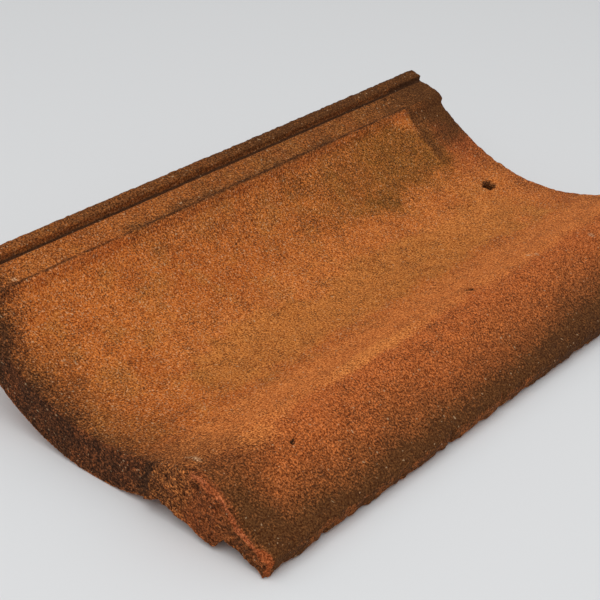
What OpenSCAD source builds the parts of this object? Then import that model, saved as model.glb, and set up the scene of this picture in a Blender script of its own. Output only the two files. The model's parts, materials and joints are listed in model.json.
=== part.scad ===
// Interlocking concrete roof tile: one cast piece, lying on a level floor as it comes to rest.
// The section is drawn as the tile lies on a roof, with x from the outer face of the lip, on the left,
// and y up from the lowest line of the underside. The tail is at -Y and the head at +Y.

/* [Tile] */
// Length from tail to head
length = 410; // [330:1:450]
// Width over the lip and the wing, measured square to the roof
width = 244; // [238:1:254]

/* [Pan] */
// Distance of the pan's lowest line from the outer face of the lip
pan_x = 88; // [84:1:94]
// Radius of the pan's upper face
pan_r = 128; // [122:1:136]
// Thickness of concrete below the pan's lowest line
pan_t = 24; // [20:0.5:27]

/* [Side shelf and lip] */
// Height of the shelf above the underside's lowest line
shelf_h = 42; // [40:0.5:46]
// Width from the outer face of the lip to the step down into the pan
shelf_w = 30.5; // [26:0.5:34]
// Rounding of the step down into the pan
shelf_r = 3.5; // [2:0.5:6]
// Width of the lip
lip_w = 8; // [6:0.5:11]
// Height of the lip above the shelf
lip_h = 3; // [2:0.5:4]
// Rounding of the lip's upper edges
lip_r = 1.5; // [0.5:0.25:1.75]
// Radius of the water groove at the foot of the lip
groove_r = 1.5; // [1:0.25:2.5]

/* [Roll and wing] */
// Height of the roll's crest above the underside's lowest line
roll_h = 68; // [64:0.5:72]
// Radius of the roll's crest
roll_r = 30; // [24:1:36]
// Fall of the wing's upper face towards its outer edge, in degrees
wing_fall = 13; // [8:0.5:15]
// Rounding of the wing's upper outer edge
wing_r = 5; // [3:0.5:6]
// Width of the wing's flat underside, which laps over the next tile's shelf and lip
wing_w = 29; // [24:1:32]
// Room between the wing and the next tile's lip
lap_clear = 0.5; // [0:0.25:2]

/* [Underside] */
// Radius of the underside below the pan
under_r = 115; // [110:1:130]
// Distance of the underside's lowest line to the right of the pan's
under_shift = 6; // [0:1:10]
// Slope of the underside below the shelf, in degrees
flank_slope = 27; // [20:1:29]
// Width of the roll's foot, from the curved underside to the wall beside the wing
foot_w = 37.5; // [28:0.5:40]
// Height of the wall from the roll's foot up to the wing
wall_h = 9; // [7:0.5:10]
// Lean of that wall, from its lower to its upper edge
wall_lean = 3.5; // [2:0.5:5]

/* [Nail hole] */
// Diameter of the nail hole
nail_d = 8; // [6:0.5:9]
// Diameter of the funnel's mouth at the pan
nail_mouth_d = 11; // [10:0.5:14]
// Depth of the funnel
nail_mouth_h = 3; // [2:0.5:5]
// Distance of the hole to the right of the pan's lowest line
nail_shift = 15; // [0:1:30]
// Distance of the hole from the head
nail_from_head = 31; // [26:1:60]

/* [Batten nib] */
// Width of the hanging nib
nib_w = 32; // [24:1:36]
// Length of the nib along the tile, at its root
nib_l = 15; // [10:1:18]
// Drop of the nib below the underside's lowest line
nib_h = 10.5; // [6:0.5:12]
// Slope of the nib's side towards the head, over its drop
nib_slope = 4; // [1:0.5:6]
// Distance of the nib's middle to the left of the pan's lowest line
nib_shift = 26; // [20:1:32]

/* [Hidden] */
$fn = 240;

// Overlap where an arc runs into another arc or a line, so that the two cross cleanly
blend = 0.05;
// Spare length of a cut beyond the face that it goes through
past = 10;
// Height that clears the whole section
above = roll_h + past;

// Pan and underside
pan_cz = pan_t + pan_r;
under_x = pan_x + under_shift;

// The roll's crest runs into the pan's circle
roll_cz = roll_h - roll_r;
roll_reach = pan_r + roll_r - blend;
roll_x = pan_x + sqrt(pow(roll_reach, 2) - pow(pan_cz - roll_cz, 2));
crown_start = [pan_x, pan_cz] + [roll_x - pan_x, roll_cz - pan_cz] * (pan_r - past) / roll_reach;

// The wing's upper face leaves the crest, and its lower face clears the next tile's lip
lip_z = shelf_h + lip_h;
wing_z = lip_z + lap_clear;
wing_start = [roll_x, roll_cz] + (roll_r - blend) * [sin(wing_fall), cos(wing_fall)];

// The wing's outer edge is rounded between its upper face and its side
edge_x = width - wing_r + blend;
edge_face_z = wing_start.y - (edge_x - wing_start.x) * tan(wing_fall);
edge = [edge_x, edge_face_z - (wing_r - blend) / cos(wing_fall)];
wing_end = edge + (wing_r - blend) * [sin(wing_fall), cos(wing_fall)];

// Foot of the roll and the wall beside the wing
wall_x = width - wing_w;
foot_end = [wall_x - wall_lean, wing_z - wall_h];
foot_start_x = foot_end.x - foot_w;

// The flank leaves the curved underside below the shelf
flank_start = [under_x, under_r] - (under_r - blend) * [sin(flank_slope), cos(flank_slope)];
flank_edge_z = flank_start.y + flank_start.x * tan(flank_slope);

// Angle at which the tile lies on the wing's outer edge and the curved underside
rest_arm = [under_x - width, under_r - wing_z];
rest_angle = atan2(rest_arm.y, rest_arm.x) + asin(under_r / norm(rest_arm)) - 180;
floor_z = wing_z * cos(rest_angle) - width * sin(rest_angle);
left_x = flank_edge_z * sin(rest_angle);
right_x = edge.x * cos(rest_angle) + edge.y * sin(rest_angle) + wing_r;

// Nail hole and nib
nail_x = pan_x + nail_shift;
nail_top_z = pan_z(nail_x);
nib_x = pan_x - nib_shift;
nib_root_z = under_z(nib_x - nib_w / 2) + pan_t / 3;

// Height of the pan's upper face and of the curved underside at a distance from the lip's outer face
function pan_z(x) = pan_cz - sqrt(pow(pan_r, 2) - pow(x - pan_x, 2));
function under_z(x) = under_r - sqrt(pow(under_r, 2) - pow(x - under_x, 2));

// A bar from the origin, with its upper right edge rounded, and its upper left one too if wanted
module rounded_bar(w, h, r, both) {
    square([w, h - r]);
    translate([both ? r : 0, 0]) square([w - (both ? 2 : 1) * r, h]);
    translate([w - r, h - r]) circle(r);
    if (both) translate([r, h - r]) circle(r);
}

// Everything below the upper faces
module below_top() {
    difference() {
        union() {
            polygon([
                [0, 0],
                [width, 0],
                [width, edge.y],
                wing_end,
                wing_start,
                [roll_x, roll_cz],
                crown_start,
                [shelf_w, shelf_h],
                [0, shelf_h - shelf_r]
            ]);
            translate([roll_x, roll_cz]) circle(roll_r);
            translate(edge) circle(wing_r);
        }
        difference() {
            translate([pan_x, pan_cz]) circle(pan_r);
            translate([roll_x, roll_cz]) circle(roll_r);
        }
    }
    rounded_bar(shelf_w, shelf_h, shelf_r, false);
    rounded_bar(lip_w, lip_z, lip_r, true);
}

// Everything above the lower faces
module above_bottom() {
    polygon([
        [0, flank_edge_z],
        flank_start,
        [foot_start_x, under_z(foot_start_x) + blend],
        foot_end,
        [wall_x, wing_z],
        [width, wing_z],
        [width, above],
        [0, above]
    ]);
    translate([under_x, under_r]) circle(under_r);
}

module section() {
    difference() {
        intersection() {
            below_top();
            above_bottom();
        }
        translate([lip_w + groove_r, shelf_h]) circle(groove_r);
    }
}

// The hanging nib: its side towards the tail bears on the batten
module nib() {
    translate([nib_x - nib_w / 2, length / 2, 0])
        rotate([90, 0, 90])
            linear_extrude(nib_w)
                polygon([
                    [0, nib_root_z],
                    [-nib_l, nib_root_z],
                    [-nib_l, -nib_h],
                    [-nib_slope, -nib_h],
                    [0, 0]
                ]);
}

// The nail hole, with its funnel widening up through the pan's face
module nail_hole() {
    mouth_rise = (nail_mouth_d - nail_d) / 2 / nail_mouth_h;
    translate([nail_x, length / 2 - nail_from_head, 0]) {
        translate([0, 0, -past]) cylinder(d = nail_d, h = above + past);
        translate([0, 0, nail_top_z - nail_mouth_h])
            cylinder(
                r1 = nail_d / 2,
                r2 = nail_d / 2 + mouth_rise * (nail_mouth_h + past),
                h = nail_mouth_h + past
            );
    }
}

module roof_tile() {
    color("peru")
        translate([-(left_x + right_x) / 2, 0, -floor_z])
            rotate([0, rest_angle, 0])
                difference() {
                    union() {
                        translate([0, length / 2, 0]) rotate([90, 0, 0]) linear_extrude(length) section();
                        nib();
                    }
                    nail_hole();
                }
}

roof_tile();
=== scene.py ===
"""A weathered interlocking concrete roof tile, lying unheld on a pale studio floor.

The tile's skin is a fine copy of the CAD solid. It is worn and stained, with some shade and light painted
into its colours, in the tile's own section frame:
across from the lip's outer face, along from the tail and up square to the roof, all in millimetres.
"""

import itertools
import json
from math import cos, radians, sin, sqrt, tan

import bpy
import numpy as np
from mathutils import Matrix, Vector


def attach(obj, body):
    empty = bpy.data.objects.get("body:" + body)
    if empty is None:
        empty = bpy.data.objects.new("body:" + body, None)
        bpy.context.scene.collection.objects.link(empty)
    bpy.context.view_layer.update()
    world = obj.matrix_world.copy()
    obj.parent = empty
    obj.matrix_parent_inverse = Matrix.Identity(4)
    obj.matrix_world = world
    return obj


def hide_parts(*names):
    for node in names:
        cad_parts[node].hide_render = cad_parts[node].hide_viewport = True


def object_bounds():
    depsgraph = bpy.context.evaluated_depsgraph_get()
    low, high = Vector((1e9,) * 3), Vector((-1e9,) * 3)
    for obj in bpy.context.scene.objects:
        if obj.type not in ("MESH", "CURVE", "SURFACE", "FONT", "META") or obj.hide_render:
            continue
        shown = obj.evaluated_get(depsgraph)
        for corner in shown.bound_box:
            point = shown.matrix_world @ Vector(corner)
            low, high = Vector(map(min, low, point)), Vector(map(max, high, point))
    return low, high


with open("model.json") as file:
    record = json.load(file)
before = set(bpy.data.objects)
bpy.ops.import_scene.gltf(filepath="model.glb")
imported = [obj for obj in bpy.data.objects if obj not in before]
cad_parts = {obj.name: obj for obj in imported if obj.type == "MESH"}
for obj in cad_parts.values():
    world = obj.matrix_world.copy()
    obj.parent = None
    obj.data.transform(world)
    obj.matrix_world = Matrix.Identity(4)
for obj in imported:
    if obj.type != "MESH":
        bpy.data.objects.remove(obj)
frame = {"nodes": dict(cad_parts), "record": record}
cad_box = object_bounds()

MM = 0.001

# Driving sizes of the tile's section, in millimetres
WIDTH = 244
LENGTH = (cad_box[1].y - cad_box[0].y) / MM
PAN_X = 88
PAN_R = 128
PAN_T = 24
SHELF_H = 42
SHELF_W = 30.5
LIP_W = 8
LIP_H = 3
ROLL_H = 68
ROLL_R = 30
WING_FALL = radians(13)
WING_W = 29
WING_R = 5
LAP_CLEAR = 0.5
UNDER_R = 115
UNDER_X = 94
NAIL_R = 5.5

# Places worked out from them
PAN_CZ = PAN_T + PAN_R
ROLL_CZ = ROLL_H - ROLL_R
ROLL_X = PAN_X + sqrt((PAN_R + ROLL_R) ** 2 - (PAN_CZ - ROLL_CZ) ** 2)
CROWN_X = PAN_X + (ROLL_X - PAN_X) * PAN_R / (PAN_R + ROLL_R)
WING_X = ROLL_X + ROLL_R * sin(WING_FALL)
WING_TOP = ROLL_CZ + ROLL_R * cos(WING_FALL)
WING_Z = SHELF_H + LIP_H + LAP_CLEAR
EDGE_X = WIDTH - WING_R
EDGE_Z = WING_TOP - (EDGE_X - WING_X) * tan(WING_FALL) - WING_R / cos(WING_FALL)
ROUNDING_X = EDGE_X + WING_R * sin(WING_FALL)

# Marks of the roof: where the next tile's wing and the upper course's tail lay on this tile
SIDE_LAP = 26.8
HEAD_LAP = 370.5

# Wear at the tail: where the roll's end begins, how far the pan's end lies behind it and the wing's sag
ROLL_END = 166
TAIL_STEP = 2.6
TAIL_SAG = 4

# Where the soft step from the shelf to the pan starts and ends
SOFT_START = 26.5
SOFT_END = 34

# Fineness of the skin
VOXEL = 0.85 * MM
ROUNDING_STEPS = 3
MOST_TRIANGLES = 192_000


def mount(name):
    """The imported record's mount of that name."""
    return next(m for m in frame["record"]["mounts"] if m["name"] == name)


# The section frame, found from the mount in the middle of the wing's underside
SECTION_UP = -Vector(mount("wing_lap")["axis"])
SECTION_ACROSS = Vector((SECTION_UP.z, 0, -SECTION_UP.x))
WING_EDGE = Vector(mount("wing_lap")["pos_m"]) + SECTION_ACROSS * WING_W / 2 * MM
TAIL = Vector((0, cad_box[0].y, 0))
SECTION_ORIGIN = WING_EDGE + TAIL - (SECTION_ACROSS * WIDTH + SECTION_UP * WING_Z) * MM
SECTION_AXES = np.array([SECTION_ACROSS, (0, 1, 0), SECTION_UP])


def to_section(points):
    """Points of the row frame as across, along and up."""
    return (points - np.array(SECTION_ORIGIN)) @ SECTION_AXES.T / MM


def to_row(points):
    """Points given as across, along and up in the row frame."""
    return points @ SECTION_AXES * MM + np.array(SECTION_ORIGIN)


# Middle of the nail hole, across and along
NAIL = to_section(np.array(mount("nail_hole")["pos_m"]))[:2]


def ramp(value, low, high):
    """0 at low, 1 at high and smooth between them. High may be the smaller one."""
    t = np.clip((value - low) / (high - low), 0, 1)
    return t * t * (3 - 2 * t)


def band(value, start, end, fade):
    """1 between start and end, fading out over a stretch at each side."""
    return ramp(value, start - fade, start) * ramp(value, end + fade, end)


def spot(across, along, centre, reach):
    """1 at the centre of an oval spot, fading to 0 at its reach."""
    away = ((across - centre[0]) / reach[0]) ** 2 + ((along - centre[1]) / reach[1]) ** 2
    return ramp(np.sqrt(away), 1, 0)


def scatter(cells, seed):
    """A repeatable random value from 0 to 1 for each whole-number cell."""
    n = cells @ np.array([73856093, 19349663, 83492791]) + seed * 26544357
    n = (n ^ (n >> 13)) * 1274126177
    n = (n ^ (n >> 16)) * 668265263
    return ((n ^ (n >> 15)) & 0xFFFFFF) / 0xFFFFFF


def lumps(points, cell, seed):
    """Smooth random values from -1 to 1 with lumps about one cell wide."""
    place = points / cell + 0.37 * seed
    base = np.floor(place).astype(np.int64)
    part = place - base
    part = part * part * part * (part * (part * 6 - 15) + 10)
    total = np.zeros(len(points))
    for corner in itertools.product((0, 1), repeat=3):
        weight = np.where(corner, part, 1 - part).prod(1)
        total += weight * (scatter(base + np.array(corner), seed) * 2 - 1)
    return total


def rough(points, cell, seed, octaves=3):
    """Lumps with finer and fainter lumps on them, from about -1 to 1."""
    total = np.zeros(len(points))
    for octave in range(octaves):
        total += lumps(points, cell / 2**octave, seed + 17 * octave) / 1.8**octave
    return total


def upper_face(across):
    """Height of the tile's upper face at a distance from the lip's outer face."""
    pan = PAN_CZ - np.sqrt(np.maximum(PAN_R**2 - (across - PAN_X) ** 2, 0))
    crest = ROLL_CZ + np.sqrt(np.maximum(ROLL_R**2 - (across - ROLL_X) ** 2, 0))
    wing = WING_TOP - (across - WING_X) * tan(WING_FALL)
    edge = EDGE_Z + np.sqrt(np.maximum(WING_R**2 - (across - EDGE_X) ** 2, 0))
    return np.select(
        [across < LIP_W, across < SHELF_W, across < CROWN_X, across < WING_X, across < ROUNDING_X],
        [SHELF_H + LIP_H, SHELF_H, pan, crest, wing],
        edge,
    )


def under_face(across):
    """Height of the curved underside at a distance from the lip's outer face."""
    return UNDER_R - np.sqrt(np.maximum(UNDER_R**2 - (across - UNDER_X) ** 2, 0))


def on_tail_end(along):
    """1 on the tail's end, fading out on the faces beside it."""
    return ramp(along, 5, 3)


def apply_modifiers(piece):
    """Makes a piece's modifiers part of its mesh."""
    depsgraph = bpy.context.evaluated_depsgraph_get()
    mesh = bpy.data.meshes.new_from_object(piece.evaluated_get(depsgraph))
    piece.modifiers.clear()
    piece.data = mesh


def fine_copy(node):
    """A fine, evenly meshed copy of a CAD node with its arrises slightly rounded."""
    piece = bpy.data.objects.new("tile_skin", node.data.copy())
    bpy.context.scene.collection.objects.link(piece)
    remesh = piece.modifiers.new("even_mesh", "REMESH")
    remesh.mode = "VOXEL"
    remesh.voxel_size = VOXEL
    smooth = piece.modifiers.new("soft_arrises", "SMOOTH")
    smooth.factor = 0.5
    smooth.iterations = ROUNDING_STEPS
    apply_modifiers(piece)
    return piece


def vertex_values(mesh, name):
    """A vertex property of three numbers as an array, one row for each vertex."""
    values = np.zeros(len(mesh.vertices) * 3, np.float32)
    mesh.vertices.foreach_get(name, values)
    return values.reshape(-1, 3).astype(float)


def keep_value(mesh, name, values):
    """Keeps one value for each vertex under a name that the material reads."""
    layer = mesh.attributes.new(name, "FLOAT", "POINT")
    layer.data.foreach_set("value", values.astype(np.float32))


def round_true(section):
    """Puts the pan, the crest and the underside back on their true arcs."""
    tolerance = 0.3
    for centre, radius in (
        ((PAN_X, PAN_CZ), PAN_R),
        ((ROLL_X, ROLL_CZ), ROLL_R),
        ((UNDER_X, UNDER_R), UNDER_R),
    ):
        arm = section[:, [0, 2]] - np.array(centre)
        reach = np.linalg.norm(arm, axis=1)
        near = np.abs(reach - radius) < tolerance
        section[near, 0] = centre[0] + arm[near, 0] * radius / reach[near]
        section[near, 2] = centre[1] + arm[near, 1] * radius / reach[near]


def soften_shelf(section):
    """Lets the shelf run down into the pan in a soft step."""
    across, _, up = section.T
    foot_z = upper_face(np.array([SOFT_END]))[0]
    soft_z = SHELF_H + (foot_z - SHELF_H) * ramp(across, SOFT_START, SOFT_END)
    on_step = (across > SOFT_START) & (across < SOFT_END) & (up > foot_z - 1)
    section[on_step, 2] = soft_z[on_step]


def step_in_tail(section):
    """Sets the pan's end back a little from the roll's end, as cut when wet."""
    across, along, _ = section.T
    ragged = ROLL_END + 1.5 * rough(section, 8, 41)
    section[:, 1] += TAIL_STEP * ramp(across, ragged, ragged - 1.5) * ramp(along, 9, 0)


def sag_at_tail(across, along):
    """How far the wing's upper face sags towards the tail."""
    return TAIL_SAG * spot(across, 0, (226, 0), (20, 1)) * ramp(along, 16, -3)


def chip(section, depth_a, depth_b, size_a, size_b, way_a, way_b):
    """Breaks an arris: points between it and the chip's face go back to that face.

    Depths are the points' distances from the two faces that meet, and sizes what the chip takes of each.
    """
    reach_a = np.maximum(size_a, 0.01)
    reach_b = np.maximum(size_b, 0.01)
    share = np.maximum(1 - np.maximum(depth_a, 0) / reach_a - np.maximum(depth_b, 0) / reach_b, 0)
    back = share * reach_a * reach_b / (reach_a**2 + reach_b**2)
    section += (back * reach_b)[:, None] * np.array(way_a)
    section += (back * reach_a)[:, None] * np.array(way_b)
    return ramp(share * np.minimum(reach_a, reach_b), 0.05, 0.5)


# Ways in the section frame
IN_ACROSS = (1, 0, 0)
OUT_ACROSS = (-1, 0, 0)
TO_HEAD = (0, 1, 0)
TO_TAIL = (0, -1, 0)
DOWN = (0, 0, -1)
UP = (0, 0, 1)

# What is kept of a place for noise that is the same at all heights, or that changes along the tile only
FROM_ABOVE = (1, 1, 0)
LENGTHWISE = (0, 1, 0)

# Nicks in the wing's outer edge: place along from the tail and depth
NICKS = ((41, 1.2), (70, 0.7), (99, 0.8), (141, 1.6), (186, 1.6), (239, -0.8), (300, 0.9))


def wear_tail(section, sound, below_top, jitter):
    """Blunts the tail along the pan, breaks it along the roll and returns how fresh the breaks are."""
    across, along, up = sound.T
    roll = ramp(across, 185, 190)
    corner = ramp(across, 232, 241)
    blunt = 2.0 + 1.0 * rough(sound * FROM_ABOVE, 14, 6) + 0.6 * jitter
    back = blunt + (1.0 + 0.5 * jitter + 2.0 * corner - blunt) * roll
    broken = 3.2 + 1.0 * rough(sound * FROM_ABOVE, 9, 5) + 1.5 * corner
    deep = blunt + (broken + 0.8 * jitter - blunt) * roll
    fresh = roll * chip(section, along, below_top, back, deep, TO_HEAD, DOWN)
    size = 2.6 + 1.4 * rough(section, 4, 7)
    fresh = np.maximum(fresh, chip(section, along, WIDTH - across, size, size, TO_HEAD, OUT_ACROSS))
    size = 1.6 + 1.2 * rough(sound * FROM_ABOVE, 8, 8) + 0.5 * jitter
    size *= ramp(across, 178, 172)
    chip(section, along, up - under_face(across), size, size, TO_HEAD, UP)
    return fresh


def wear_wing(section, sound, jitter):
    """Rags and nicks the wing's outer edge, and chips its lower arris."""
    across, along, up = sound.T
    bow = 1.2 * (along / LENGTH * 2 - 1) ** 2
    rag = bow + 0.6 * rough(sound * LENGTHWISE, 18, 9) + 0.6 * rough(section, 5, 10)
    for nick, depth in NICKS:
        rag += depth * ramp(np.abs(along - nick), 4, 0)
    section[:, 0] -= np.maximum(rag, 0) * ramp(across, WIDTH - 9, WIDTH - 1)
    size = 1.6 + 1.5 * rough(sound * LENGTHWISE, 9, 12) + 0.9 * jitter
    chip(section, WIDTH - across, up - WING_Z, size, size, OUT_ACROSS, UP)


def wear_lip(section, sound, jitter):
    """Blunts the lip's outer arris."""
    across, _, up = sound.T
    size = 0.7 + 0.35 * rough(sound * LENGTHWISE, 4, 13) + 0.4 * jitter
    chip(section, across, SHELF_H + LIP_H - up, size, size, IN_ACROSS, DOWN)


def wear_head(section, sound, below_top, jitter):
    """Blunts the head's upper arris."""
    size = 1.8 + 1.0 * rough(sound * FROM_ABOVE, 12, 14) + 0.5 * jitter
    chip(section, LENGTH - sound[:, 1], below_top, size, size, TO_TAIL, DOWN)


def wear(section):
    """Sags the wing, chips and rags the edges, and returns how freshly broken each point is."""
    across, along, up = section.T
    jitter = rough(section, 4, 3)
    top = upper_face(across)
    sag = sag_at_tail(across, along)
    section[:, 2] -= sag * ramp(up, top - 9, top - 1)
    sound = section.copy()
    below_top = top - sag - sound[:, 2]
    fresh = wear_tail(section, sound, below_top, jitter)
    wear_wing(section, sound, jitter)
    wear_lip(section, sound, jitter)
    wear_head(section, sound, below_top, jitter)
    return fresh


# Pits in the upper face: place across and along, radius and depth
PITS = (
    ((202.8, 54.2), 1.5, 2.2),
    ((201.9, 56.2), 1.0, 1.6),
    ((200.8, 58.2), 0.9, 1.2),
    ((199.6, 60.2), 0.8, 1.0),
    ((182, 231.8), 2.0, 2.6),
    ((56.5, 176), 1.0, 1.0),
    ((12.5, 363.5), 1.8, 1.2),
)

# Pit in the roll's end, across and up
END_PIT = (192, 60)


def pit_depth(section):
    """How deep the pits in the upper face are at each point."""
    across, along, up = section.T
    ragged = 1 + 0.35 * rough(section, 2, 21)
    depth = np.zeros(len(section))
    for centre, radius, deepest in PITS:
        away = np.hypot(across - centre[0], along - centre[1]) * ragged
        depth = np.maximum(depth, deepest * ramp(away, 1.3 * radius, 0.3 * radius))
    return depth * ramp(up, upper_face(across) - 4, upper_face(across) - 2)


def break_nail_hole(section):
    """Breaks the mouth of the nail hole's funnel."""
    arm = section[:, :2] - NAIL
    away = np.hypot(arm[:, 0], arm[:, 1])
    top = upper_face(section[:, 0])
    near = ramp(away, NAIL_R + 4, NAIL_R) * ramp(section[:, 2], top - 5, top - 1)
    outward = arm / np.maximum(away, 1)[:, None]
    sink = 0.4 * near * np.maximum(rough(section, 5, 24) + 0.2, 0)
    section[:, :2] += outward * (near * (0.8 * rough(section, 4, 23) - 0.7))[:, None]
    section[:, 2] -= sink


def relief(section, normals):
    """Moves the skin in and out: casting waves, sandy grain and the coarse broken tail."""
    across, along, up = section.T.copy()
    tail = ramp(along, 3.5, 1.0)
    shown = ramp(up, upper_face(across) - 6, upper_face(across) - 3)
    shown = np.maximum(shown, tail)
    lip = ramp(across, 10, 7)
    waves = 0.3 * rough(section, 70, 31, 2)
    sand = 0.13 * rough(section, 2.6, 32) * (0.1 + 0.9 * shown) * (1 + 0.8 * lip)
    lumpy = 0.5 + 0.35 * ramp(across, ROLL_END, ROLL_END + 6)
    coarse = tail * (lumpy * rough(section, 7, 33) + 0.25 * rough(section, 2.2, 34, 2))
    section += normals * (waves + sand + coarse)[:, None]
    section[:, 1] += 2.2 * tail * spot(across, up, END_PIT, (5, 4))
    section[:, 2] -= pit_depth(section)


def thin_out(piece):
    """Brings the skin below the largest number of triangles."""
    piece.data.calc_loop_triangles()
    count = len(piece.data.loop_triangles)
    if count > MOST_TRIANGLES:
        thin = piece.modifiers.new("thin_out", "DECIMATE")
        thin.ratio = MOST_TRIANGLES / count
        apply_modifiers(piece)


def tail_grime_and_shade(section):
    """Dark grime on the tail's end and on a strip of the upper face beside it, painted shadow on the pan's
    end beside the roll's proud end, and painted shade along the wing's outer edge.
    """
    across, along, up = section.T
    blur = 3 * rough(section, 18, 51) + 2 * rough(section, 6, 52)
    reach = 6 + 19 * ramp(across, 68, 40) + 6 * band(across, 76, 106, 10) + 2 * band(across, 128, 140, 12)
    reach *= ramp(across, 176, 158)
    strip = 0.88 * ramp(along + blur, reach + 14, reach - 12)
    pan_end = ramp(across, ROLL_END + 3, ROLL_END)
    # Painted shadow on the pan's end in the recess beside the roll's proud end, darkest in a line next to
    # it
    foot_shadow = 0.4 * spot(across, up, (154, 36), (22, 20))
    foot_shadow += 0.5 * band(across, ROLL_END - 5, ROLL_END, 2)
    end = on_tail_end(along) * (0.32 * pan_end + foot_shadow + 0.8 * spot(across, up, END_PIT, (5, 4)))
    # Painted shade along the wing's outer edge towards the head
    wing = 0.4 * ramp(across, 229, 241) * ramp(along, 205, 255)
    return np.max([strip * ramp(across, 196, 172), wing, end], axis=0)


def olive_growth(section):
    """Olive growth on the shelf and in the upper pan, towards the head."""
    across, along, _ = section.T
    blur = 7 * rough(section, 26, 53) + 3 * rough(section, 7, 54)
    pan = band(across + blur, 46, 70, 24) * ramp(along + 3 * blur, 110, 370)
    shelf = 0.35 * band(across, 10, 26, 2) * ramp(along + 2 * blur, 120, 330)
    patch = 0.28 * spot(across + blur, along + blur, (76, 292), (18, 30))
    below_head = ramp(along + 0.4 * blur, HEAD_LAP + 17, HEAD_LAP + 4)
    return np.maximum((0.68 * pan + patch) * below_head, shelf)


# Pale smears: place across and along, reach and share
SMEARS = (
    ((184, 140), (8, 50), 1.0),
    ((191, 42), (11, 22), 0.6),
    ((181, 10.5), (8, 2.5), 1.0),
    ((120, 330), (26, 60), 0.25),
)


def pale_dust_and_highlight(section):
    """Pale dust along the pan's bottom, a painted highlight on the pan's slope up to the crest, and pale
    smears beside the crest.
    """
    across, along, _ = section.T
    blur = 7 * rough(section, 30, 55) + 3 * rough(section, 8, 56)
    dust_and_highlight = 0.25 * band(across + blur, 92, 138, 26) * ramp(along + blur, 30, 120)
    # Paler band on the pan's slope up to the crest: painted highlight on that slope, not dust
    dust_and_highlight += 0.5 * band(across + 0.5 * blur, 163, 181, 12)
    for centre, reach, share in SMEARS:
        dust_and_highlight += share * spot(across + 0.2 * blur, along + 0.5 * blur, centre, reach)
    return dust_and_highlight


def brown_weather_and_shade(section):
    """Brown weathering on the lip, the shelf, the wing, the tail and what the upper course covered, and
    painted shade below the shelf's step.
    """
    across, along, _ = section.T
    blur = 5 * rough(section, 20, 57) + 2 * rough(section, 6, 58)
    lip = ramp(across, 9, 7.5) * (0.6 + 0.18 * ramp(along, 50, 110) + 0.15 * ramp(along, 180, 250))
    shelf = band(across, 10, 27, 2) * (0.38 + 0.15 * ramp(along, 90, 200) + 0.35 * ramp(along, 320, 380))
    # Darker band where the shelf's step runs down into the pan: painted shade of the concave step
    step = 0.3 * band(across + 0.5 * blur, 27, 44, 6) * band(along + 2 * blur, 130, 290, 25)
    step += 0.25 * spot(across + blur, along + blur, (54, 188), (13, 48))
    wing = 0.15 * ramp(across + blur, 184, 194) + 0.8 * ramp(across + 0.5 * blur, 194, 246)
    wing *= 0.95 - 0.1 * band(along, 150, 205, 20) + 0.2 * ramp(along, 225, 280)
    edge = ramp(across + 0.5 * blur, 228, 243) * (0.2 + 0.45 * ramp(along, 205, 245))
    smear = 0.3 * spot(across, along, (190, 181), (6, 16))
    tail_reach = 62 - 34 * ramp(across, 196, 222)
    tail = 0.58 * ramp(along + blur, tail_reach, 8) * ramp(across, 44, 66)
    end = 0.52 + 0.26 * ramp(across, 205, 222)
    lapped = ramp(along + 0.3 * blur, HEAD_LAP - 1, HEAD_LAP + 2) * ramp(across + blur, 72, 54)
    lapped *= 0.68 + 0.16 * ramp(across, 48, 36) + 0.12 * rough(section, 12, 66)
    head = ramp(along + blur, LENGTH - 28, LENGTH - 6) * (0.28 + 0.25 * ramp(across + blur, 152, 172))
    brown = np.maximum(lip + shelf + step + wing + edge + smear + tail, lapped) + head
    return brown + (end - brown) * on_tail_end(along)


def red_tint(section):
    """Redder, darker concrete: below the side lap, beyond the head lap, on the crest and the tail's end."""
    across, along, _ = section.T
    blur = 3 * rough(section, 16, 59)
    step = 0.35 * band(across, SIDE_LAP, 30, 3)
    lapped = 0.6 * ramp(along, HEAD_LAP, HEAD_LAP + 3) * band(across + blur, 60, 84, 12)
    lapped = np.maximum(lapped, 0.9 * ramp(along + blur, HEAD_LAP, LENGTH - 14) * band(across, 32, 66, 8))
    head = 0.5 * ramp(along + 2 * blur, LENGTH - 30, LENGTH - 8)
    crest = 0.35 * band(across + blur, 190, 228, 8)
    return np.max([step, lapped, head, crest, on_tail_end(along)], axis=0)


def ochre_film(section):
    """Ochre film on the pan's bottom, beside the rise to the roll."""
    across, along, _ = section.T
    blur = 6 * rough(section, 24, 63) + 3 * rough(section, 8, 64)
    return 0.6 * band(across + blur, 114, 142, 12) * band(along + 2 * blur, 85, 350, 30)


def red_clay(section):
    """Redder concrete of the same brightness on the roll."""
    across = section[:, 0]
    return 0.6 * ramp(across + 5 * rough(section, 24, 65), 146, 172)


# Whitish marks: place across and along, and reach
CHALK = (
    ((10.2, 298), (2, 6)),
    ((24, 33), (3, 3)),
    ((181, 10.5), (9, 2.5)),
    ((183, 289), (3, 2)),
    ((185.5, 292.5), (3, 2)),
    ((196, 339), (3, 4)),
)


def chalk_marks(section):
    """Small whitish marks."""
    across, along, _ = section.T
    ragged = 0.8 * rough(section, 3, 60)
    marks = np.zeros(len(section))
    for centre, reach in CHALK:
        marks = np.maximum(marks, spot(across + ragged, along + ragged, centre, reach))
    return 0.55 * marks


def dark_marks(section):
    """Grime round the nail hole, in the pits and at the edges, with painted shade at the tail's end and
    along the wing's edge.
    """
    across, along, _ = section.T
    away = np.hypot(across - NAIL[0], along - NAIL[1]) + rough(section, 4, 62)
    hole = 0.85 * ramp(away, NAIL_R + 1, NAIL_R - 1.5)
    pits = ramp(pit_depth(section), 0.2, 0.8)
    return np.max([hole, pits, tail_grime_and_shade(section)], axis=0)


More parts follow.
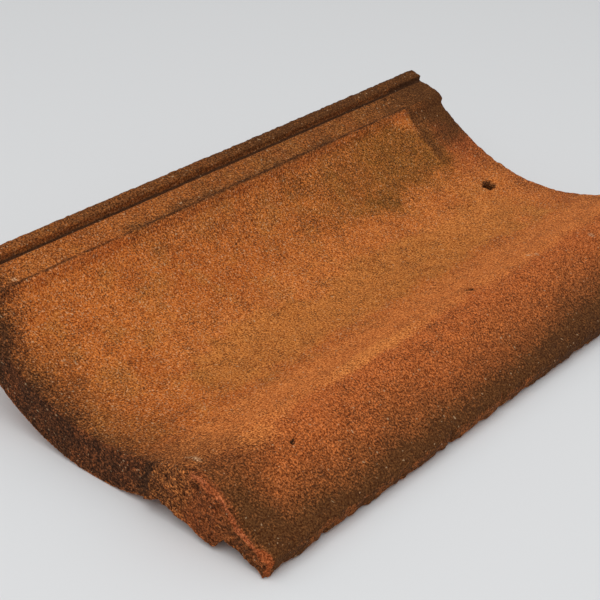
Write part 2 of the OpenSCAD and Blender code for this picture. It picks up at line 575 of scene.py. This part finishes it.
def rubbed_rim(section, normals):
    """How clean the wing's side face is rubbed."""
    across, _, up = section.T
    rim = ramp(normals[:, 0], 0.8, 0.96) * ramp(across, WIDTH - 8, WIDTH - 4)
    return rim * ramp(up, WING_Z, WING_Z + 4) * (0.6 + 0.6 * rough(section, 4, 61))


def hidden_faces(section, normals):
    """1 on the underside and on the head's end, which stay plain."""
    below = ramp(normals[:, 2], -0.05, -0.4)
    head = ramp(normals[:, 1], 0.5, 0.9) * ramp(section[:, 1], LENGTH - 4, LENGTH - 2)
    return np.maximum(below, head)


# Share of brown on the faces that the photograph hides
PLAIN_BROWN = 0.3


def stain_and_paint_light(mesh, fresh):
    """Keeps the stains and the painted shade and light, each from 0 to 1, and two of the section's
    coordinates at every vertex.
    """
    section = to_section(vertex_values(mesh, "co"))
    normals = vertex_values(mesh, "normal") @ SECTION_AXES.T
    across, along, _ = section.T
    hidden = hidden_faces(section, normals)
    shown = 1 - hidden
    unbroken = 1 - 0.8 * fresh
    brown = brown_weather_and_shade(section) * (1 - 0.4 * rubbed_rim(section, normals)) * unbroken
    stains_and_painted_light = {
        "grime_and_shade": dark_marks(section) * unbroken * shown,
        "olive": olive_growth(section) * shown,
        "dust_and_highlight": pale_dust_and_highlight(section) * shown,
        "brown": brown + (PLAIN_BROWN - brown) * hidden,
        "ochre": ochre_film(section) * shown,
        "clay": red_clay(section) * shown,
        "red": red_tint(section) * shown,
        "bare": 0.7 * fresh * ramp(across, 238, 228) * (0.75 + 0.6 * rough(section, 9, 67)),
        "chalk": chalk_marks(section) * shown,
        "coarse": on_tail_end(along) * (1 - 0.6 * fresh),
    }
    keep_value(mesh, "across", across)
    keep_value(mesh, "along", along)
    for name, share in stains_and_painted_light.items():
        keep_value(mesh, name, np.clip(share, 0, 1))


def read_value(mesh, name):
    """A value kept at every vertex."""
    values = np.zeros(len(mesh.vertices), np.float32)
    mesh.attributes[name].data.foreach_get("value", values)
    return values.astype(float)


def weathered_tile():
    """The tile's skin with its wear, its relief, and its stains and painted shade and light as vertex
    values.
    """
    piece = fine_copy(frame["nodes"]["roof_tile"])
    section = to_section(vertex_values(piece.data, "co"))
    normals = vertex_values(piece.data, "normal") @ SECTION_AXES.T
    round_true(section)
    soften_shelf(section)
    step_in_tail(section)
    break_nail_hole(section)
    keep_value(piece.data, "fresh", wear(section))
    relief(section, normals)
    points = to_row(section)

    # Nothing goes below the floor
    points[:, 2] = np.maximum(points[:, 2], 0)
    piece.data.vertices.foreach_set("co", points.astype(np.float32).ravel())
    thin_out(piece)
    stain_and_paint_light(piece.data, read_value(piece.data, "fresh"))
    piece.data.shade_smooth()
    piece.data.materials.clear()
    piece.data.materials.append(weathered_concrete())
    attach(piece, "root")
    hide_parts("roof_tile")


# Sizes in the concrete, in millimetres: sand, pores, broken stones, blotches and patches of colour
GRAIN = 1.0
PALE_GRAIN = 1.1
PALE_SPECK = 1.8
PORE = 0.85
STONE = 1.2
BLOTCH = 4.5
MOTTLE = 11
OCHRE_PATCH = 19
RUST_PATCH = 34

# Sizes in the lap lines, in millimetres: their breaks and their sway
BREAK = 9
SWAY = 14


class Nodes:
    """Short calls for building a material's nodes."""

    def __init__(self, name):
        self.material = bpy.data.materials.new(name)
        self.material.use_nodes = True
        self.tree = self.material.node_tree
        self.shader = self.tree.nodes["Principled BSDF"]

    def add(self, kind, inputs, **settings):
        """A node with its settings, its input values and its input links."""
        node = self.tree.nodes.new(kind)
        for name, value in settings.items():
            setattr(node, name, value)
        for name, value in inputs.items():
            self.feed(node.inputs[name], value)
        return node

    def feed(self, socket, value):
        """Links an output to a socket, or sets the socket's value."""
        if isinstance(value, bpy.types.NodeSocket):
            self.tree.links.new(value, socket)
        else:
            socket.default_value = value

    def value(self, name):
        """One of the skin's vertex values."""
        return self.add("ShaderNodeAttribute", {}, attribute_name=name).outputs["Fac"]

    def place(self):
        """The point's place in metres."""
        return self.add("ShaderNodeTexCoord", {}).outputs["Object"]

    def noise(self, size, detail=2.0, roughness=0.5):
        """Noise with features of about that size, in millimetres."""
        inputs = {
            "Vector": self.place(),
            "Scale": 1 / (size * MM),
            "Detail": detail,
            "Roughness": roughness,
        }
        return self.add("ShaderNodeTexNoise", inputs).outputs["Fac"]

    def stones(self, size):
        """A random value for each stone of about that size, in millimetres, and how far its middle is."""
        node = self.add("ShaderNodeTexVoronoi", {"Vector": self.place(), "Scale": 1 / (size * MM)})
        random = self.add("ShaderNodeSeparateColor", {"Color": node.outputs["Color"]}).outputs[0]
        return random, node.outputs["Distance"]

    def window(self, value, low, high, start=0.0, end=1.0):
        """A value spread from low and high to start and end, and held there."""
        inputs = {"Value": value, "From Min": low, "From Max": high, "To Min": start, "To Max": end}
        return self.add("ShaderNodeMapRange", inputs).outputs["Result"]

    def math(self, operation, a, b=0.0):
        """The result of one sum on two values."""
        return self.add("ShaderNodeMath", {0: a, 1: b}, operation=operation).outputs[0]

    def mix(self, share, a, b, blend="MIX"):
        """Colour a going over to colour b."""
        node = self.add("ShaderNodeMix", {}, data_type="RGBA", blend_type=blend)
        colours = [s for s in node.inputs if s.type == "RGBA"]
        self.feed(node.inputs["Factor"], share)
        self.feed(colours[0], a)
        self.feed(colours[1], b)
        return next(s for s in node.outputs if s.type == "RGBA")

    def speckled(self, share, grain, spread):
        """A stain's share broken up by the grain, more of it on bright grains, or on dull ones below 0."""
        offset = self.math("MULTIPLY", self.math("SUBTRACT", grain, 0.5), spread)
        partly = self.math("MULTIPLY", offset, self.window(share, 0.0, 0.3))
        return self.window(self.math("ADD", share, partly), 0.1, 0.9)

    def line(self, coordinate, place, half_width, wobble):
        """1 on a line where a coordinate has that value, a little wobbly, and 0 beside it."""
        sway = self.math("MULTIPLY", self.math("SUBTRACT", self.noise(SWAY, 3.0), 0.5), wobble)
        away = self.math("ABSOLUTE", self.math("SUBTRACT", self.math("ADD", coordinate, sway), place))
        return self.window(away, half_width, 0.4 * half_width)


def shade(red, green, blue):
    """A colour as linear light."""
    return (red, green, blue, 1.0)


# Colours of the concrete and its stains
ORANGE = shade(0.51, 0.143, 0.025)
RUST = shade(0.445, 0.115, 0.019)
OCHRE = shade(0.43, 0.152, 0.028)
TAN = shade(0.62, 0.197, 0.043)
OLIVE = shade(0.17, 0.068, 0.010)
RED = shade(0.33, 0.078, 0.020)
BROWN = shade(0.105, 0.038, 0.010)
SOOT = shade(0.055, 0.021, 0.008)
BARE = shade(0.46, 0.125, 0.042)
CLAY = shade(0.50, 0.122, 0.027)
SAND = shade(0.56, 0.36, 0.20)

# What a grain's colour is multiplied by, from the dullest to the brightest
DULL_GRAIN = shade(0.42, 0.25, 0.05)
BRIGHT_GRAIN = shade(1.52, 1.69, 1.92)

# The stains and the painted shade and light in the order in which they lie on each other, and how the grain
# breaks them up
STAINS_AND_PAINTED_LIGHT = (
    ("ochre", OCHRE, 0.6),
    ("clay", CLAY, 0.6),
    ("red", RED, -1.5),
    ("dust_and_highlight", TAN, 1.5),
    ("olive", OLIVE, -2.5),
    ("brown", BROWN, -1.6),
    ("grime_and_shade", SOOT, -2.2),
    ("bare", BARE, 0.5),
    ("chalk", SAND, 1.0),
)


def lap_lines(m, colour):
    """Thin dark lines along the groove, the side lap and the head lap. The groove's line is partly painted
    shade at the lip's foot and partly dirt.
    """
    across = m.value("across")
    along = m.value("along")
    # Dark line in the groove at the lip's foot: partly painted shade beside the lip, partly dirt
    groove_shade_and_dirt = m.line(across, LIP_W + 1.4, 1.7, 0.8)
    exposed = m.window(along, HEAD_LAP + 2, HEAD_LAP - 2)
    breaks = m.noise(BREAK, 3.0)
    broken = m.window(breaks, 0.38, 0.58, 0.1, 0.8)
    side = m.math("MULTIPLY", m.line(across, SIDE_LAP, 0.9, 1.2), m.math("MULTIPLY", exposed, broken))
    inside = m.math("MULTIPLY", m.window(across, SIDE_LAP - 1, SIDE_LAP + 1), m.window(across, 74, 66))
    faint = m.math("MULTIPLY", inside, m.window(breaks, 0.38, 0.58, 0.05, 0.5))
    head = m.math("MULTIPLY", m.line(along, HEAD_LAP + 1, 5.0, 3.5), faint)
    for share in (groove_shade_and_dirt, side, head):
        colour = m.mix(share, colour, SOOT)
    return colour


def stained_and_light_painted_concrete(m, grain):
    """The concrete's own colours, with the stains, the painted shade and light, and the lap lines on them.
    """
    blotch = m.noise(BLOTCH, 3.0, 0.6)
    specks = m.math("ADD", m.math("MULTIPLY", grain, 0.75), m.math("MULTIPLY", blotch, 0.25))
    colour = m.mix(m.window(m.noise(RUST_PATCH, 4.0, 0.6), 0.4, 0.6), ORANGE, RUST)
    colour = m.mix(m.window(m.noise(OCHRE_PATCH, 4.0, 0.6), 0.5, 0.65, 0.0, 0.5), colour, OCHRE)
    colour = m.mix(m.window(m.noise(PALE_GRAIN, 1.0), 0.56, 0.74, 0.0, 0.55), colour, SAND)
    for name, stained, spread in STAINS_AND_PAINTED_LIGHT:
        colour = m.mix(m.speckled(m.value(name), specks, spread), colour, stained)
    return lap_lines(m, colour)


def grainy(m, colour, grain, pores, stone):
    """A colour on bright and dull grains, with dark pores, broken stones and a few pale specks."""
    tint = m.mix(m.window(grain, 0.36, 0.64), DULL_GRAIN, BRIGHT_GRAIN)
    colour = m.mix(1.0, colour, tint, "MULTIPLY")
    mottle = m.window(m.noise(MOTTLE, 4.0, 0.6), 0.35, 0.65, -0.05, 0.06)
    colour = m.mix(m.window(m.math("ADD", pores, mottle), 0.54, 0.66, 0.0, 0.8), colour, SOOT)
    stones = m.mix(1.0, colour, m.window(stone, 0.0, 1.0, 0.5, 1.6), "MULTIPLY")
    colour = m.mix(m.value("coarse"), colour, stones)
    return m.mix(m.window(m.noise(PALE_SPECK, 0.0), 0.79, 0.83, 0.0, 0.55), colour, SAND)


def fine_relief(m, pores, stone_depth):
    """The normal of relief that is finer than the skin's mesh."""
    bumps = m.add("ShaderNodeBump", {"Height": pores, "Strength": 0.8, "Distance": 0.5 * MM}, invert=True)
    inputs = {
        "Height": m.math("MULTIPLY", stone_depth, m.value("coarse")),
        "Strength": 0.8,
        "Distance": 0.7 * MM,
        "Normal": bumps.outputs["Normal"],
    }
    return m.add("ShaderNodeBump", inputs, invert=True).outputs["Normal"]


def weathered_concrete():
    """Sandy orange concrete with its stains, some painted shade and light, its bare broken edges and its
    grain.
    """
    m = Nodes("weathered_concrete")
    grain = m.noise(GRAIN, 3.0, 0.65)
    pores = m.noise(PORE, 2.0, 0.6)
    stone, stone_depth = m.stones(STONE)
    colour = stained_and_light_painted_concrete(m, grain)
    m.feed(m.shader.inputs["Base Color"], grainy(m, colour, grain, pores, stone))
    m.feed(m.shader.inputs["Roughness"], 0.95)
    m.feed(m.shader.inputs["Specular IOR Level"], 0.12)
    m.feed(m.shader.inputs["Normal"], fine_relief(m, pores, stone_depth))
    return m.material


# The floor, in metres
FLOOR_SIDE = 30.0
FLOOR_COLOUR = shade(0.72, 0.73, 0.74)


def pale_floor():
    """A plain pale floor that fills the view."""
    mesh = bpy.data.meshes.new("floor")
    half = FLOOR_SIDE / 2
    corners = [(-half, -half, 0), (half, -half, 0), (half, half, 0), (-half, half, 0)]
    mesh.from_pydata(corners, [], [(0, 1, 2, 3)])
    floor = bpy.data.objects.new("floor", mesh)
    bpy.context.scene.collection.objects.link(floor)
    m = Nodes("pale_floor")
    m.feed(m.shader.inputs["Base Color"], FLOOR_COLOUR)
    m.feed(m.shader.inputs["Roughness"], 0.8)
    m.feed(m.shader.inputs["Specular IOR Level"], 0.1)
    mesh.materials.append(m.material)


def looking(place, ahead):
    """The placing of an object that stands level and looks ahead."""
    turn = Vector(ahead).to_track_quat("-Z", "Y").to_matrix().to_4x4()
    return Matrix.Translation(place) @ turn


# The lamp, in metres and watts, and the room's even light
KEY_PLACE = (0.5, -0.8, 2.2)
KEY_SIDE = 2.6
KEY_WATTS = 36
SKY = shade(1.0, 1.0, 1.0)
SKY_LEVEL = 0.55


def studio_light():
    """One broad soft lamp above the camera, in an even pale room."""
    lamp = bpy.data.lights.new("key", "AREA")
    lamp.size = KEY_SIDE
    lamp.energy = KEY_WATTS
    key = bpy.data.objects.new("key", lamp)
    key.matrix_world = looking(KEY_PLACE, -Vector(KEY_PLACE))
    bpy.context.scene.collection.objects.link(key)
    world = bpy.data.worlds.new("room")
    world.use_nodes = True
    background = world.node_tree.nodes["Background"]
    background.inputs["Color"].default_value = SKY
    background.inputs["Strength"].default_value = SKY_LEVEL
    bpy.context.scene.world = world


# The camera: place and nearest view in metres, lens and sensor in millimetres
CAMERA_PLACE = (0.45779, -0.57538, 0.42234)
CAMERA_AHEAD = (-0.57523, 0.66136, -0.48137)
CAMERA_LENS = 85.474
CAMERA_SENSOR = 36
CAMERA_NEAR = 0.02


def photo_camera():
    """The camera at the photograph's place and angle."""
    lens = bpy.data.cameras.new("camera")
    lens.lens = CAMERA_LENS
    lens.sensor_width = CAMERA_SENSOR
    lens.clip_start = CAMERA_NEAR
    camera = bpy.data.objects.new("camera", lens)
    camera.matrix_world = looking(CAMERA_PLACE, CAMERA_AHEAD)
    bpy.context.scene.collection.objects.link(camera)
    bpy.context.scene.camera = camera


weathered_tile()
pale_floor()
studio_light()
photo_camera()
bpy.context.scene.view_settings.view_transform = "Standard"
